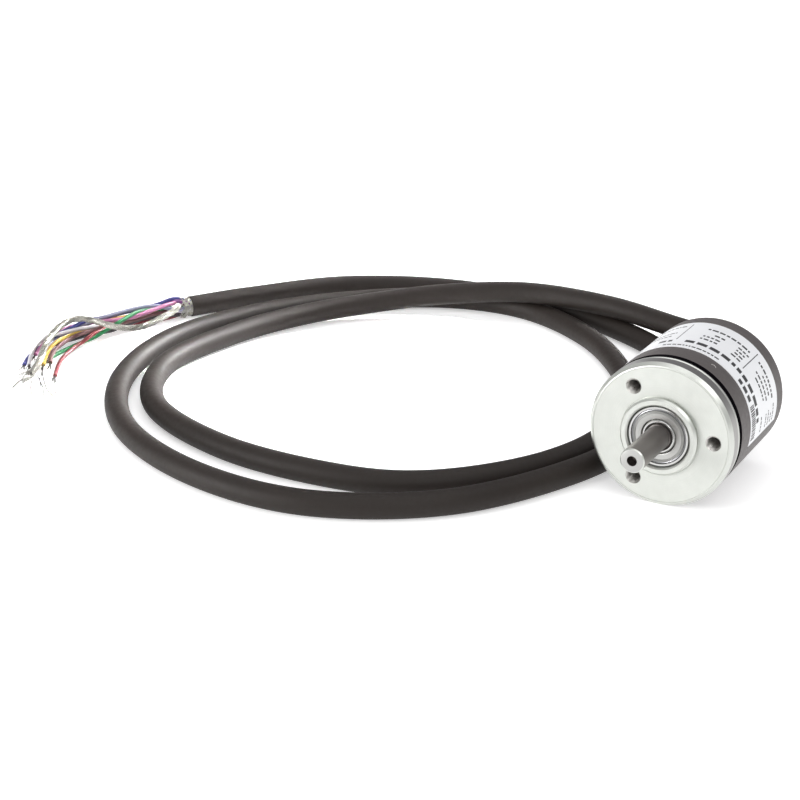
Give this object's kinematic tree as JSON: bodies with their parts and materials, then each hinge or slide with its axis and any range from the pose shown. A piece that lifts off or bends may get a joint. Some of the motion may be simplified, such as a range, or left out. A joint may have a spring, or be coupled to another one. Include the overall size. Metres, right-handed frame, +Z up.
{
  "type": "rotary encoder",
  "caption": "Miniature shaft encoder: round metal housing, clamp-face flange with centring collar and tapped holes, ball-bearing shaft, and a coiled screened lead with a stripped end.",
  "frame": {"origin": "centre of the mounting face, on the shaft axis", "axes": "+Y along the shaft axis from the mounting face towards the rear, so the shaft points to -Y; +Z up, as the encoder lies on its side; +X to the right seen from the front"},
  "size_m": [0.1812, 0.142, 0.0301],
  "materials": {
    "turned_alloy": "fine turned, clear anodised",
    "dark_anodised": "satin dark anodised",
    "seal_rubber": "smooth nitrile rubber",
    "label_film": null,
    "ground_steel": "ground stainless steel",
    "bearing_steel": "polished bearing steel",
    "ball_steel": "mirror polished balls",
    "cage_plastic": "moulded polyamide",
    "shield_steel": "pressed sheet steel",
    "spring_steel": "phosphated spring steel",
    "hub_alloy": "turned, bare",
    "black_steel": "black oxide steel",
    "disc_glass": "clear glass with a dark graduated track",
    "black_plastic": "moulded black plastic",
    "led_resin": "clear cast resin",
    "lens_glass": "polished lens",
    "nickel": "nickel plated",
    "board_green": "glass-fibre board with solder mask",
    "capacitor_case": "moulded tantalum case",
    "brass_plain": "turned brass",
    "ivory_plastic": "moulded plastic with tinned contacts",
    "gland_rubber": "moulded rubber",
    "jacket_pvc": "extruded matt dark grey-brown jacket",
    "tinned_braid": "tinned copper braid",
    "core_insulation": "thin coloured insulation on stranded cores"
  },
  "bodies": {
    "casing": {"flange": "turned_alloy", "housing": "dark_anodised", "housing_seal": "seal_rubber", "label": "label_film", "preload_washer": "spring_steel", "front_outer_ring": "bearing_steel", "front_shields": "shield_steel", "rear_outer_ring": "bearing_steel", "rear_shields": "shield_steel", "led_holder": "black_plastic", "led": "led_resin", "led_lens": "lens_glass", "scanning_mask": "disc_glass", "sensor_chip": "black_plastic", "board_pillars": "nickel", "main_board": "board_green", "board_link": "black_plastic", "capacitors": "capacitor_case", "standoffs": "brass_plain", "connection_board": "board_green", "board_screws": "nickel", "wire_connector": "ivory_plastic", "cable_ferrule": "nickel", "cable_gland": "gland_rubber", "cable_stub": "jacket_pvc", "cable_jacket": "jacket_pvc", "screen_collar": "tinned_braid", "screen_pigtail": "tinned_braid", "core_bundle": "core_insulation"},
    "rotor": {"shaft": "ground_steel", "bearing_spacer": "ground_steel", "retaining_ring": "spring_steel", "front_inner_ring": "bearing_steel", "rear_inner_ring": "bearing_steel", "disc_hub": "hub_alloy", "hub_set_screw": "black_steel", "code_disc": "disc_glass", "disc_clamp_ring": "hub_alloy"},
    "front_cage_set": {"front_balls": "ball_steel", "front_cage": "cage_plastic"},
    "rear_cage_set": {"rear_balls": "ball_steel", "rear_cage": "cage_plastic"}
  },
  "joints": [
    {"name": "shaft_spin", "type": "hinge", "parent": "casing", "child": "rotor", "pos_m": [0, 0, 0], "axis": [0, -1, 0], "continuous": true},
    {"name": "front_cage_spin", "type": "hinge", "parent": "casing", "child": "front_cage_set", "pos_m": [0, 0, 0], "axis": [0, -1, 0], "continuous": true},
    {"name": "rear_cage_spin", "type": "hinge", "parent": "casing", "child": "rear_cage_set", "pos_m": [0, 0, 0], "axis": [0, -1, 0], "continuous": true}
  ],
  "couplings": [
    {"joint": "front_cage_spin", "follows": "shaft_spin", "ratio": 0.36264},
    {"joint": "rear_cage_spin", "follows": "shaft_spin", "ratio": 0.36264}
  ]
}
